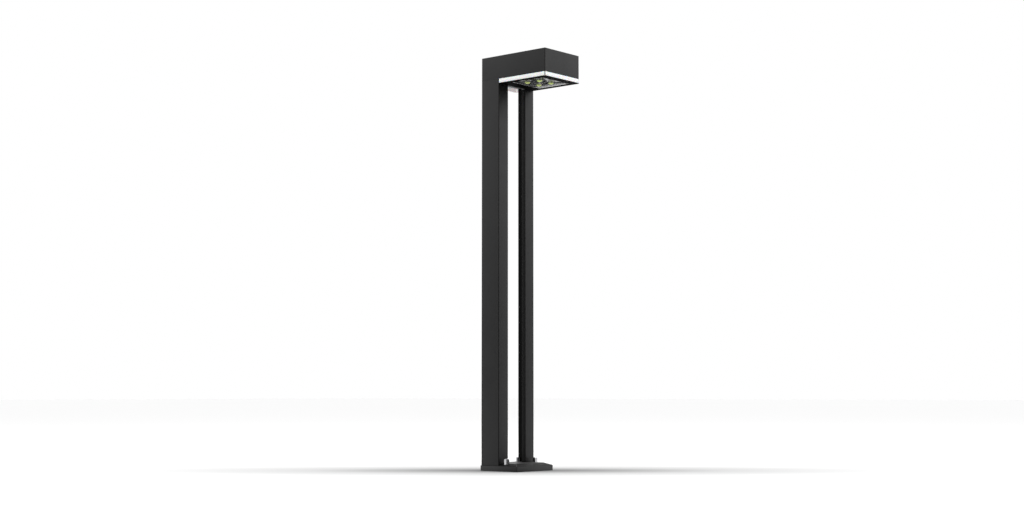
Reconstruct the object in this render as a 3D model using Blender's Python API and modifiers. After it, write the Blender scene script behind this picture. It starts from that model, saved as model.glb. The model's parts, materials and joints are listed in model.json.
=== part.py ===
"""Bollard light: two posts on a hipped base plate carry a box-shaped head.

The head holds a module of four LEDs that shines down through a domed lens plate in a black bezel,
with an opal band round its lower edge. Units are metres. +Z is up, the head reaches out towards -Y,
and the origin is the middle of the base plate's underside.
"""
import math

import bmesh
import bpy
from mathutils import Matrix

MM = 0.001

# --- Driving dimensions -------------------------------------------------------------------------

FIT_GAP = 0.3 * MM                  # clearance between neighbouring pieces

TOTAL_HEIGHT = 900 * MM
HEAD_WIDTH = 117 * MM
HEAD_DEPTH = 179.5 * MM
CASING_HEIGHT = 51 * MM
CASING_WALL = 3 * MM
CASING_EDGE = 0.8 * MM              # rounding of the casing's outer edges
BAND_HEIGHT = 9 * MM                # opal band under the casing
BAND_WALL = 4 * MM                  # thickness of the band where the head is open between the posts
BEZEL_THICKNESS = 1.5 * MM

PLATE_SIDE = 1.7 * MM               # how far the plate stands out beside the posts
PLATE_DEPTH = 103.2 * MM
PLATE_EDGE = 11.5 * MM              # height of the plate's upright sides
HIP_INSET = 19.5 * MM               # plan width of the plate's sloping margin
HIP_RISE = 5.5 * MM
PLATE_PROUD = 0.7 * MM              # how far the plate stands out behind the posts

COLUMN_WIDTH = 31 * MM
COLUMN_DEPTH = 50 * MM
COLUMN_WALL = 3 * MM
COLUMN_EDGE = 1.0 * MM              # corner radius of the wide post

SLIM_WIDTH = 28 * MM
SLIM_BAR_DEPTH = 10.5 * MM          # thick front bar of the slim post
SLIM_SHORT = 8 * MM                 # how far the flange's back edge stops short of the wide post's
SLIM_FLANGE = 3 * MM

WINDOW_SIDE = 9.5 * MM              # bezel's margin beside its opening
WINDOW_FRONT = 16.7 * MM            # bezel's margin in front of its opening
WINDOW_BACK = 25.8 * MM             # bezel's margin between its opening and the posts
WINDOW_CORNER = 2 * MM
STRIP_DEPTH = 7.4 * MM              # of the strip behind the bezel, between the posts
LED_SIDE = 0.199                    # from the middle to the LEDs, as a share of the opening's width
LED_ROWS = (0.35, 0.74)             # LED rows, as shares of the opening's depth from its front
LED_RADIUS = 6 * MM
LED_DROP = 3.2 * MM                 # how far the LED's dome reaches below the lens plate's lower face
HOLDER_RADIUS = 8.5 * MM
TRAY_THICKNESS = 0.8 * MM           # reflector plate, and the holders set into it
LENS_LAP = 3 * MM                   # how far the lens plate rests on the bezel
LENS_THICKNESS = 2 * MM
LENS_RADIUS = 7.3 * MM
LENS_DROP = 4.6 * MM                # how far each lens stands out below its plate
LENS_WALL = 1 * MM
GASKET_WALL = 3 * MM
BOARD_THICKNESS = 1.6 * MM

CHASSIS_THICKNESS = 2 * MM
PLUG_LENGTH = 32 * MM               # plugs inside the column's two ends
CABLE_RADIUS = 2.75 * MM
CABLE_STUB = 4 * MM                 # straight end of the cable, beside the terminal block
GROMMET_RADIUS = 6 * MM

ANCHOR_SIDE = 11 * MM               # from the posts' outer sides in to the anchors
ANCHOR_AHEAD = 13.3 * MM            # from the posts' front to the front anchors
ANCHOR_BACK_INSET = 15.3 * MM       # from the posts' back to the back anchor
ANCHOR_SEAT_RISE = 2.3 * MM         # spot face under each washer, above the plate's upright sides
STUD_RADIUS = 3 * MM
STUD_REACH = 9.2 * MM               # of each stud above its spot face
WASHER_RADIUS = 6.5 * MM
WASHER_THICKNESS = 1.2 * MM
NUT_FLATS = 10 * MM
NUT_HEX_HEIGHT = 10.2 * MM
NUT_HEIGHT = 12 * MM
NUT_DOME_INSET = 0.2 * MM           # from the hexagon's flats to the dome
NUT_DOME_RISE = 1.5 * MM
NUT_TURNS = {"front_left": 0.0, "front_right": 10.5, "back_right": -19.5}  # degrees, as tightened

POST_SCREW_RADIUS = 2.5 * MM
POST_SCREW_HEAD = 4.6 * MM
POST_SCREW_HEAD_HEIGHT = 2.8 * MM
POST_SCREW_RECESS = 0.6 * MM
POST_SCREW_GRIP = 14 * MM           # thread inside each post
COLUMN_SCREW_INSET = 6.5 * MM       # from the wide post's inner faces
SLIM_SCREW_INSET = 0.8 * MM         # between the screws' heads and the casing's wall

CASING_SCREW_RADIUS = 2.0 * MM
CASING_SCREW_HEAD = 3.5 * MM
CASING_SCREW_HEAD_HEIGHT = 2.4 * MM
CASING_SCREW_GRIP = 10 * MM
CASING_SCREW_SIDE = 9.5 * MM        # from the head's sides
CASING_SCREW_FRONT = 8.2 * MM       # from the head's front
BOSS_RADIUS = 4.5 * MM

SMALL_SCREW_RADIUS = 1.5 * MM
SMALL_SCREW_HEAD = 2.75 * MM
SMALL_SCREW_HEAD_HEIGHT = 1.2 * MM
BEZEL_SCREW_X = 28 * MM
BEZEL_SCREW_FRONT = 7.5 * MM        # from the head's front
STRIP_SCREW_SIDE = 8.5 * MM         # from the wide post to the nearest screw between the posts
STRIP_SCREW_INSET = 3.7 * MM        # behind the posts' front
STRIP_SEAT_BEHIND = 2 * MM          # how far the opal frame reaches behind the strip

DRIVER_INSET = 28 * MM              # from the head's front to the driver
DRIVER_HEIGHT = 24 * MM
DRIVER_SIDE_GAP = 4.5 * MM          # between the driver's tabs and the casing's walls
DRIVER_TAB = 9 * MM
DRIVER_TAB_THICKNESS = 2 * MM
LEAD_RADIUS = 0.9 * MM
LEAD_RISE = 6 * MM                  # of the leads above the pieces that they leave
LEAD_BEND = 4 * MM
LEAD_RUN = 12 * MM                  # from the driver to the lead hole
LEAD_HOLE_RADIUS = 5 * MM
LEAD_HOLE_INSET = 7 * MM        # from the circuit board's back edge
LED_LEAD_X = 2.5 * MM
MAINS_LEAD_X = 11 * MM

TERMINAL_WIDTH = 34 * MM
TERMINAL_DEPTH = 20 * MM
TERMINAL_HEIGHT = 28 * MM
TERMINAL_SPACE = 7.5 * MM           # between the casing's back boss and the block
EARTH_SCREW_SIDE = 11 * MM          # from the block's side
EARTH_SCREW_BEHIND = 5 * MM         # behind the block's middle

ROUND_STEPS = 16                    # sides of a round piece
BORE_STEPS = 12                     # sides of a bore
DOME_STEPS = 4                      # steps from a dome's top to its rim
BEND_STEPS = 6                      # steps along the cable's bend
CUT_PAST = 5 * MM                   # how far a cutter runs past the face that it cuts

# --- Positions worked out from the driving dimensions -------------------------------------------

CASING_FOOT = TOTAL_HEIGHT - CASING_HEIGHT
UNDERSIDE = CASING_FOOT - BAND_HEIGHT - BEZEL_THICKNESS
BEZEL_TOP = UNDERSIDE + BEZEL_THICKNESS
CHASSIS_LOW = CASING_FOOT + FIT_GAP
CHASSIS_TOP = CHASSIS_LOW + CHASSIS_THICKNESS

HEAD_LEFT = -HEAD_WIDTH / 2
HEAD_RIGHT = HEAD_WIDTH / 2
HEAD_BACK = PLATE_DEPTH / 2 - PLATE_PROUD
HEAD_FRONT = HEAD_BACK - HEAD_DEPTH
PLATE_WIDTH = HEAD_WIDTH + 2 * PLATE_SIDE

COLUMN_RIGHT = HEAD_LEFT + COLUMN_WIDTH
COLUMN_FRONT = HEAD_BACK - COLUMN_DEPTH
COLUMN_X = HEAD_LEFT + COLUMN_WIDTH / 2
COLUMN_Y = HEAD_BACK - COLUMN_DEPTH / 2
SLIM_LEFT = HEAD_RIGHT - SLIM_WIDTH
SLIM_BAR_BACK = COLUMN_FRONT + SLIM_BAR_DEPTH
SLIM_BACK = HEAD_BACK - SLIM_SHORT
SLIM_X = (SLIM_LEFT + HEAD_RIGHT - CASING_WALL) / 2  # middle of its width inside the casing's wall
SLIM_BAR_Y = COLUMN_FRONT + SLIM_BAR_DEPTH / 2
POST_FOOT = PLATE_EDGE + FIT_GAP
POST_TOP = CASING_FOOT - FIT_GAP
ANCHOR_SEAT = PLATE_EDGE + ANCHOR_SEAT_RISE
STUD_TOP = ANCHOR_SEAT + STUD_REACH

WINDOW_WIDTH = HEAD_WIDTH - 2 * WINDOW_SIDE
WINDOW_DEPTH = COLUMN_FRONT - HEAD_FRONT - WINDOW_FRONT - WINDOW_BACK
MODULE_Y = HEAD_FRONT + WINDOW_FRONT + WINDOW_DEPTH / 2
LENS_LOW = BEZEL_TOP + FIT_GAP
LENS_TOP = LENS_LOW + LENS_THICKNESS
TRAY_LOW = LENS_TOP + FIT_GAP
TRAY_TOP = TRAY_LOW + TRAY_THICKNESS
BOARD_LOW = TRAY_TOP + FIT_GAP
BOARD_TOP = BOARD_LOW + BOARD_THICKNESS
MODULE_TOP = CHASSIS_LOW - FIT_GAP
LENS_HALF_X = WINDOW_WIDTH / 2 + LENS_LAP
LENS_HALF_Y = WINDOW_DEPTH / 2 + LENS_LAP
LED_Y = [HEAD_FRONT + WINDOW_FRONT + share * WINDOW_DEPTH for share in LED_ROWS]
LENS_SCREW = (0.0, sum(LED_Y) / 2)
INSIDE_HALF_X = LENS_HALF_X - GASKET_WALL - FIT_GAP
INSIDE_HALF_Y = LENS_HALF_Y - GASKET_WALL - FIT_GAP

DRIVER_LENGTH = HEAD_WIDTH - 2 * (CASING_WALL + DRIVER_SIDE_GAP + DRIVER_TAB)
LEAD_HOLE_Y = MODULE_Y + INSIDE_HALF_Y - LEAD_HOLE_INSET
DRIVER_BACK = LEAD_HOLE_Y - LEAD_RUN
DRIVER_DEPTH = DRIVER_BACK - HEAD_FRONT - DRIVER_INSET
DRIVER_Y = DRIVER_BACK - DRIVER_DEPTH / 2
STRIP_SCREW_X = -COLUMN_RIGHT - STRIP_SCREW_SIDE
STRIP_SCREW_Y = COLUMN_FRONT + STRIP_SCREW_INSET
TERMINAL_FRONT = STRIP_SCREW_Y + BOSS_RADIUS + TERMINAL_SPACE
TERMINAL_BACK = TERMINAL_FRONT + TERMINAL_DEPTH
CABLE_BEND = -COLUMN_X - TERMINAL_WIDTH / 2 - CABLE_STUB

# Centres of what repeats, as (x, y)

ANCHOR_X = HEAD_RIGHT - ANCHOR_SIDE
ANCHORS = {
    "front_left": (-ANCHOR_X, COLUMN_FRONT - ANCHOR_AHEAD),
    "front_right": (ANCHOR_X, COLUMN_FRONT - ANCHOR_AHEAD),
    "back_right": (ANCHOR_X, HEAD_BACK - ANCHOR_BACK_INSET),
}
COLUMN_SCREW_SPREAD = COLUMN_DEPTH / 2 - COLUMN_WALL - COLUMN_SCREW_INSET
COLUMN_SCREWS = {
    "front": (COLUMN_X, COLUMN_Y - COLUMN_SCREW_SPREAD),
    "back": (COLUMN_X, COLUMN_Y + COLUMN_SCREW_SPREAD),
}
SLIM_SCREW_SPREAD = SLIM_X - SLIM_LEFT - POST_SCREW_HEAD - SLIM_SCREW_INSET
SLIM_SCREWS = {
    "left": (SLIM_X - SLIM_SCREW_SPREAD, SLIM_BAR_Y),
    "right": (SLIM_X + SLIM_SCREW_SPREAD, SLIM_BAR_Y),
}
CASING_SCREWS = {
    "left": (HEAD_LEFT + CASING_SCREW_SIDE, HEAD_FRONT + CASING_SCREW_FRONT),
    "right": (HEAD_RIGHT - CASING_SCREW_SIDE, HEAD_FRONT + CASING_SCREW_FRONT),
    "back": (0.0, STRIP_SCREW_Y),
}
BEZEL_SCREWS = {
    "front_left": (-BEZEL_SCREW_X, HEAD_FRONT + BEZEL_SCREW_FRONT),
    "front_right": (BEZEL_SCREW_X, HEAD_FRONT + BEZEL_SCREW_FRONT),
    "back_left": (-STRIP_SCREW_X, STRIP_SCREW_Y),
    "back_right": (STRIP_SCREW_X, STRIP_SCREW_Y),
}
DRIVER_SCREWS = {
    "left": (-(DRIVER_LENGTH + DRIVER_TAB) / 2, DRIVER_Y),
    "right": ((DRIVER_LENGTH + DRIVER_TAB) / 2, DRIVER_Y),
}
EARTH_SCREW = (TERMINAL_WIDTH / 2 + EARTH_SCREW_SIDE,
               (TERMINAL_FRONT + TERMINAL_BACK) / 2 + EARTH_SCREW_BEHIND)
LED_PLACES = [(x, y) for y in LED_Y for x in (-LED_SIDE * WINDOW_WIDTH, LED_SIDE * WINDOW_WIDTH)]

# --- Scene and materials ------------------------------------------------------------------------

for leftover in list(bpy.data.objects):
    bpy.data.objects.remove(leftover, do_unlink=True)

parts = bpy.data.collections.new("bollard_light")
cutters = bpy.data.collections.new("cutters")
bpy.context.scene.collection.children.link(parts)
bpy.context.scene.collection.children.link(cutters)


def material(name, colour, roughness, metallic=0.0, transmission=0.0):
    """A Principled material of one colour."""
    made = bpy.data.materials.new(name)
    made.use_nodes = True
    shader = made.node_tree.nodes["Principled BSDF"]
    shader.inputs["Base Color"].default_value = (*colour, 1.0)
    shader.inputs["Roughness"].default_value = roughness
    shader.inputs["Metallic"].default_value = metallic
    shader.inputs["Transmission Weight"].default_value = transmission
    return made


PAINT = material("graphite_paint", (0.045, 0.045, 0.047), 0.45)
BLACK = material("black_enamel", (0.01, 0.01, 0.011), 0.25)
OPAL = material("opal_acrylic", (0.93, 0.93, 0.93), 0.35)
CLEAR = material("clear_lens", (0.95, 0.97, 0.96), 0.05, transmission=1.0)
STEEL = material("stainless_steel", (0.72, 0.72, 0.74), 0.2, 1.0)
ALUMINIUM = material("plain_aluminium", (0.6, 0.61, 0.62), 0.4, 1.0)
REFLECTOR = material("satin_reflector", (0.5, 0.5, 0.51), 0.3, 1.0)
PHOSPHOR = material("led_phosphor", (0.78, 0.82, 0.32), 0.3)
PLASTIC = material("black_plastic", (0.02, 0.02, 0.02), 0.5)
WHITE_PLASTIC = material("white_plastic", (0.8, 0.8, 0.78), 0.5)
RUBBER = material("rubber", (0.025, 0.025, 0.025), 0.8)
BOARD = material("white_circuit_board", (0.75, 0.76, 0.75), 0.5)
RED_WIRE = material("red_wire", (0.5, 0.03, 0.02), 0.5)
BLUE_WIRE = material("blue_wire", (0.03, 0.1, 0.4), 0.5)


# --- Shape helpers ------------------------------------------------------------------------------

def add_mesh(name, bm, finish):
    """Put a bmesh into the scene as a named sub-part, or as a cutter when it has no finish."""
    mesh = bpy.data.meshes.new(name)
    bm.to_mesh(mesh)
    bm.free()
    made = bpy.data.objects.new(name, mesh)
    if finish is None:
        made.hide_render = True
        made.display_type = "WIRE"
        cutters.objects.link(made)
    else:
        mesh.materials.append(finish)
        parts.objects.link(made)
    return made


def block(name, low, high, finish=None):
    """A box between two corners."""
    size = [b - a for a, b in zip(low, high)]
    middle = [(a + b) / 2 for a, b in zip(low, high)]
    bm = bmesh.new()
    bmesh.ops.create_cube(bm, size=1.0, matrix=Matrix.Translation(middle) @ Matrix.Diagonal((*size, 1.0)))
    return add_mesh(name, bm, finish)


def frustum(name, centre, low_radius, high_radius, z_low, z_high, finish=None, sides=ROUND_STEPS, turn=0.0):
    """A cylinder, cone or regular prism standing upright."""
    bm = bmesh.new()
    place = Matrix.Translation((*centre, (z_low + z_high) / 2)) @ Matrix.Rotation(turn, 4, "Z")
    bmesh.ops.create_cone(bm, cap_ends=True, segments=sides, radius1=low_radius, radius2=high_radius,
                          depth=z_high - z_low, matrix=place)
    return add_mesh(name, bm, finish)


def turned(name, centre, profile, finish):
    """A turned piece. The profile lists (radius, z) from the top of its axis down its outer side."""
    mesh = bpy.data.meshes.new(name)
    edges = [(i, i + 1) for i in range(len(profile) - 1)]
    mesh.from_pydata([(radius, 0.0, z) for radius, z in profile], edges, [])
    mesh.materials.append(finish)
    made = bpy.data.objects.new(name, mesh)
    made.location = (*centre, 0.0)
    parts.objects.link(made)
    turn = made.modifiers.new("turn", "SCREW")
    turn.steps = ROUND_STEPS
    turn.render_steps = ROUND_STEPS
    turn.use_merge_vertices = True
    turn.merge_threshold = 0.00001
    return made


def boolean(target, tool, operation="DIFFERENCE"):
    """Cut the tool from the target, or join it to the target."""
    step = target.modifiers.new(tool.name, "BOOLEAN")
    step.operation = operation
    step.solver = "EXACT"
    step.object = tool


def drill(target, centre, radius, z_low, z_high):
    """Drill an upright round hole."""
    boolean(target, frustum(target.name + "_hole", centre, radius, radius, z_low, z_high))


def rectangle(x_low, x_high, y_low, y_high, radius=0.0, steps=3):
    """Corner points of a rectangle, with round corners where a radius is given."""
    if radius == 0.0:
        return [(x_low, y_low), (x_high, y_low), (x_high, y_high), (x_low, y_high)]
    centres = [(x_low + radius, y_low + radius, 180), (x_high - radius, y_low + radius, 270),
               (x_high - radius, y_high - radius, 0), (x_low + radius, y_high - radius, 90)]
    points = []
    for x, y, start in centres:
        for step in range(steps + 1):
            angle = math.radians(start + 90 * step / steps)
            points.append((x + radius * math.cos(angle), y + radius * math.sin(angle)))
    return points


def circle(centre, radius, steps=BORE_STEPS):
    """Points round a circle."""
    angles = [2 * math.pi * step / steps for step in range(steps)]
    return [(centre[0] + radius * math.cos(a), centre[1] + radius * math.sin(a)) for a in angles]


def outline(name, loops, z_low, z_high, finish):
    """A flat outline, with holes, given a thickness."""
    curve = bpy.data.curves.new(name, "CURVE")
    curve.dimensions = "2D"
    curve.fill_mode = "BOTH"
    curve.extrude = (z_high - z_low) / 2
    for loop in loops:
        spline = curve.splines.new("POLY")
        spline.points.add(len(loop) - 1)
        for point, (x, y) in zip(spline.points, loop):
            point.co = (x, y, 0.0, 1.0)
        spline.use_cyclic_u = True
    curve.materials.append(finish)
    made = bpy.data.objects.new(name, curve)
    made.location = (0.0, 0.0, (z_low + z_high) / 2)
    parts.objects.link(made)
    return made


def meshed(source):
    """Replace a curve object with a mesh of the same shape and name."""
    evaluated = source.evaluated_get(bpy.context.evaluated_depsgraph_get())
    mesh = bpy.data.meshes.new_from_object(evaluated)
    bm = bmesh.new()
    bm.from_mesh(mesh)
    bmesh.ops.remove_doubles(bm, verts=bm.verts, dist=0.000001)
    bm.to_mesh(mesh)
    bm.free()
    name = source.name
    place = source.matrix_world.copy()
    bpy.data.objects.remove(source, do_unlink=True)
    made = bpy.data.objects.new(name, mesh)
    made.matrix_world = place
    parts.objects.link(made)
    return made


def as_cutter(tool):
    """Turn a sub-part into the hidden operand of a Boolean."""
    parts.objects.unlink(tool)
    cutters.objects.link(tool)
    tool.hide_render = True
    tool.display_type = "WIRE"


def tube(name, points, radius, finish):
    """A round cable or wire along its route."""
    curve = bpy.data.curves.new(name, "CURVE")
    curve.dimensions = "3D"
    curve.bevel_depth = radius
    curve.bevel_resolution = 2
    curve.use_fill_caps = True
    spline = curve.splines.new("POLY")
    spline.points.add(len(points) - 1)
    for point, place in zip(spline.points, points):
        point.co = (*place, 1.0)
    curve.materials.append(finish)
    made = bpy.data.objects.new(name, curve)
    parts.objects.link(made)
    return made


def screw(name, centre, head_radius, head_low, head_high, shank_radius, tip, countersunk=False):
    """A screw that points up, or down when its tip is below its head."""
    top_radius = shank_radius if countersunk else head_radius
    if tip > head_high:
        profile = [(0.0, tip), (shank_radius, tip), (shank_radius, head_high), (top_radius, head_high),
                   (head_radius, head_low), (0.0, head_low)]
    else:
        profile = [(0.0, head_high), (head_radius, head_high), (head_radius, head_low),
                   (shank_radius, head_low), (shank_radius, tip), (0.0, tip)]
    if countersunk:
        profile.pop(3)
    return turned(name, centre, profile, STEEL)


# --- Base ---------------------------------------------------------------------------------------

def base_plate():
    """Plate with a hipped top, flat seats for the posts, and holes for anchors, screws and cable."""
    bm = bmesh.new()
    size = (PLATE_WIDTH, PLATE_DEPTH, PLATE_EDGE)
    place = Matrix.Translation((0.0, 0.0, PLATE_EDGE / 2)) @ Matrix.Diagonal((*size, 1.0))
    bmesh.ops.create_cube(bm, size=1.0, matrix=place)
    top = [face for face in bm.faces if face.normal.z > 0.5]
    bmesh.ops.inset_region(bm, faces=top, thickness=HIP_INSET, depth=HIP_RISE)
    plate = add_mesh("base_plate", bm, PAINT)
    seat_top = PLATE_EDGE + HIP_RISE + CUT_PAST
    column_seat = block("column_seat", (HEAD_LEFT - FIT_GAP, COLUMN_FRONT - FIT_GAP, PLATE_EDGE),
                        (COLUMN_RIGHT + FIT_GAP, HEAD_BACK + FIT_GAP, seat_top))
    slim_seat = meshed(outline("slim_seat", [slim_outline(FIT_GAP)], PLATE_EDGE, seat_top, PAINT))
    as_cutter(slim_seat)
    boolean(plate, column_seat)
    boolean(plate, slim_seat)
    for centre in ANCHORS.values():
        drill(plate, centre, WASHER_RADIUS + FIT_GAP, ANCHOR_SEAT, seat_top)
        drill(plate, centre, STUD_RADIUS + FIT_GAP, -CUT_PAST, ANCHOR_SEAT + CUT_PAST)
    shank = POST_SCREW_RADIUS + FIT_GAP
    head = POST_SCREW_HEAD + FIT_GAP
    step = POST_SCREW_RECESS + POST_SCREW_HEAD_HEIGHT + FIT_GAP
    for centre in [*COLUMN_SCREWS.values(), *SLIM_SCREWS.values()]:
        profile = [(0.0, PLATE_EDGE + CUT_PAST), (shank, PLATE_EDGE + CUT_PAST), (shank, step),
                   (head, step), (head, -CUT_PAST), (0.0, -CUT_PAST)]
        stepped = turned("counterbore", centre, profile, PAINT)
        as_cutter(stepped)
        boolean(plate, stepped)
    drill(plate, (COLUMN_X, COLUMN_Y), GROMMET_RADIUS + FIT_GAP, -CUT_PAST, PLATE_EDGE + CUT_PAST)


def anchors():
    """Studs, washers and cap nuts that hold the plate down."""
    washer_top = ANCHOR_SEAT + FIT_GAP + WASHER_THICKNESS
    nut_low = washer_top + FIT_GAP
    nut_radius = NUT_FLATS / 2 / math.cos(math.pi / 6)
    dome_radius = NUT_FLATS / 2 - NUT_DOME_INSET
    for place, centre in ANCHORS.items():
        bore = circle(centre, STUD_RADIUS + FIT_GAP)
        turned("anchor_stud_" + place, centre,
               [(0.0, STUD_TOP), (STUD_RADIUS, STUD_TOP), (STUD_RADIUS, FIT_GAP), (0.0, FIT_GAP)], STEEL)
        outline("anchor_washer_" + place, [circle(centre, WASHER_RADIUS, ROUND_STEPS), bore],
                ANCHOR_SEAT + FIT_GAP, washer_top, STEEL)
        nut = frustum("anchor_cap_nut_" + place, centre, nut_radius, nut_radius, nut_low,
                      nut_low + NUT_HEX_HEIGHT, STEEL, sides=6, turn=math.radians(NUT_TURNS[place]))
        dome_high = nut_low + NUT_HEIGHT
        waist = dome_high - NUT_DOME_RISE
        arc = [math.pi / 2 * step / DOME_STEPS for step in range(1, DOME_STEPS + 1)]
        profile = [(0.0, dome_high)]
        profile += [(dome_radius * math.sin(a), waist + NUT_DOME_RISE * math.cos(a)) for a in arc]
        profile += [(dome_radius, nut_low + NUT_HEX_HEIGHT / 2), (0.0, nut_low + NUT_HEX_HEIGHT / 2)]
        dome = turned("cap_dome_" + place, centre, profile, STEEL)
        as_cutter(dome)
        boolean(nut, dome, "UNION")
        drill(nut, centre, STUD_RADIUS + FIT_GAP, nut_low - CUT_PAST, STUD_TOP + FIT_GAP)


def ring_grommet(name, centre, z_low, z_high):
    """Rubber bush round the cable."""
    outline(name, [circle(centre, GROMMET_RADIUS, ROUND_STEPS), circle(centre, CABLE_RADIUS + FIT_GAP)],
            z_low, z_high, RUBBER)


# --- Posts --------------------------------------------------------------------------------------

def left_column():
    """Rectangular tube, flush with the head's left side and back."""
    outer = rectangle(HEAD_LEFT, COLUMN_RIGHT, COLUMN_FRONT, HEAD_BACK, COLUMN_EDGE)
    inner = rectangle(HEAD_LEFT + COLUMN_WALL, COLUMN_RIGHT - COLUMN_WALL,
                      COLUMN_FRONT + COLUMN_WALL, HEAD_BACK - COLUMN_WALL)
    outline("left_column", [outer, inner], POST_FOOT, POST_TOP, PAINT)


def column_plugs():
    """Blocks inside the column's ends that take its screws and let the cable through."""
    side = rectangle(HEAD_LEFT + COLUMN_WALL + FIT_GAP, COLUMN_RIGHT - COLUMN_WALL - FIT_GAP,
                     COLUMN_FRONT + COLUMN_WALL + FIT_GAP, HEAD_BACK - COLUMN_WALL - FIT_GAP)
    holes = [circle(centre, POST_SCREW_RADIUS + FIT_GAP) for centre in COLUMN_SCREWS.values()]
    loops = [side, circle((COLUMN_X, COLUMN_Y), GROMMET_RADIUS), *holes]
    outline("column_foot_plug", loops, POST_FOOT, POST_FOOT + PLUG_LENGTH, ALUMINIUM)
    outline("column_head_plug", loops, POST_TOP - PLUG_LENGTH, POST_TOP, ALUMINIUM)


def slim_outline(grow=0.0):
    """Plan of the slim post: a thick bar with a thin flange behind its outer side."""
    flange_left = HEAD_RIGHT - SLIM_FLANGE - grow
    return [(SLIM_LEFT - grow, COLUMN_FRONT - grow), (HEAD_RIGHT + grow, COLUMN_FRONT - grow),
            (HEAD_RIGHT + grow, SLIM_BACK + grow), (flange_left, SLIM_BACK + grow),
            (flange_left, SLIM_BAR_BACK + grow), (SLIM_LEFT - grow, SLIM_BAR_BACK + grow)]


def slim_post():
    """Angle-shaped extrusion, drilled and tapped at both ends."""
    post = outline("slim_post", [slim_outline()], POST_FOOT, POST_TOP, PAINT)
    solid = meshed(post)
    for centre in SLIM_SCREWS.values():
        drill(solid, centre, POST_SCREW_RADIUS + FIT_GAP, 0.0, POST_FOOT + POST_SCREW_GRIP + FIT_GAP)
        drill(solid, centre, POST_SCREW_RADIUS + FIT_GAP, POST_TOP - POST_SCREW_GRIP - FIT_GAP,
              POST_TOP + CUT_PAST)


def post_screws():
    """Screws up through the base plate, and down through the chassis plate, into both posts."""
    head_top = POST_SCREW_RECESS + POST_SCREW_HEAD_HEIGHT
    low_tip = POST_FOOT + POST_SCREW_GRIP
    chassis_head = CHASSIS_TOP + FIT_GAP
    high_tip = POST_TOP - POST_SCREW_GRIP
    for post, places in (("column", COLUMN_SCREWS), ("slim", SLIM_SCREWS)):
        for place, centre in places.items():
            screw(f"{post}_foot_screw_{place}", centre, POST_SCREW_HEAD, POST_SCREW_RECESS, head_top,
                  POST_SCREW_RADIUS, low_tip)
            screw(f"{post}_head_screw_{place}", centre, POST_SCREW_HEAD, chassis_head,
                  chassis_head + POST_SCREW_HEAD_HEIGHT, POST_SCREW_RADIUS, high_tip)


# --- Head ---------------------------------------------------------------------------------------

def head_casing():
    """Cap open below, with a boss for each of its screws."""
    bm = bmesh.new()
    low = (HEAD_LEFT, HEAD_FRONT, CASING_FOOT)
    high = (HEAD_RIGHT, HEAD_BACK, TOTAL_HEIGHT)
    size = [b - a for a, b in zip(low, high)]
    middle = [(a + b) / 2 for a, b in zip(low, high)]
    bmesh.ops.create_cube(bm, size=1.0, matrix=Matrix.Translation(middle) @ Matrix.Diagonal((*size, 1.0)))
    bottom = [face for face in bm.faces if face.normal.z < -0.5]
    bmesh.ops.delete(bm, geom=bottom, context="FACES_ONLY")
    rounded = [edge for edge in bm.edges if not edge.is_boundary]
    bmesh.ops.bevel(bm, geom=rounded, offset=CASING_EDGE, segments=2, profile=0.5, affect="EDGES")
    casing = add_mesh("head_casing", bm, PAINT)
    shell = casing.modifiers.new("wall", "SOLIDIFY")
    shell.thickness = CASING_WALL
    shell.offset = -1.0
    shell.use_even_offset = True
    roof = TOTAL_HEIGHT - CASING_WALL / 2
    for place, centre in CASING_SCREWS.items():
        boss = frustum("boss_" + place, centre, BOSS_RADIUS, BOSS_RADIUS, CHASSIS_TOP + FIT_GAP, roof)
        boolean(casing, boss, "UNION")
    for centre in CASING_SCREWS.values():
        drill(casing, centre, CASING_SCREW_RADIUS + FIT_GAP, CASING_FOOT,
              CHASSIS_TOP + CASING_SCREW_GRIP + FIT_GAP)


def chassis_plate():
    """Plate across the casing's mouth that ties the posts, the LED module and the driver."""
    inset = CASING_WALL + FIT_GAP
    side = rectangle(HEAD_LEFT + inset, HEAD_RIGHT - inset, HEAD_FRONT + inset, HEAD_BACK - inset)
    post_holes = [*COLUMN_SCREWS.values(), *SLIM_SCREWS.values()]
    small_holes = [*BEZEL_SCREWS.values(), *DRIVER_SCREWS.values(), EARTH_SCREW, LENS_SCREW]
    loops = [side, circle((COLUMN_X, COLUMN_Y), GROMMET_RADIUS + FIT_GAP, ROUND_STEPS),
             circle((0.0, LEAD_HOLE_Y), LEAD_HOLE_RADIUS)]
    loops += [circle(centre, POST_SCREW_RADIUS + FIT_GAP) for centre in post_holes]
    loops += [circle(centre, CASING_SCREW_RADIUS + FIT_GAP) for centre in CASING_SCREWS.values()]
    loops += [circle(centre, SMALL_SCREW_RADIUS + FIT_GAP) for centre in small_holes]
    outline("chassis_plate", loops, CHASSIS_LOW, CHASSIS_TOP, ALUMINIUM)


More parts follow.
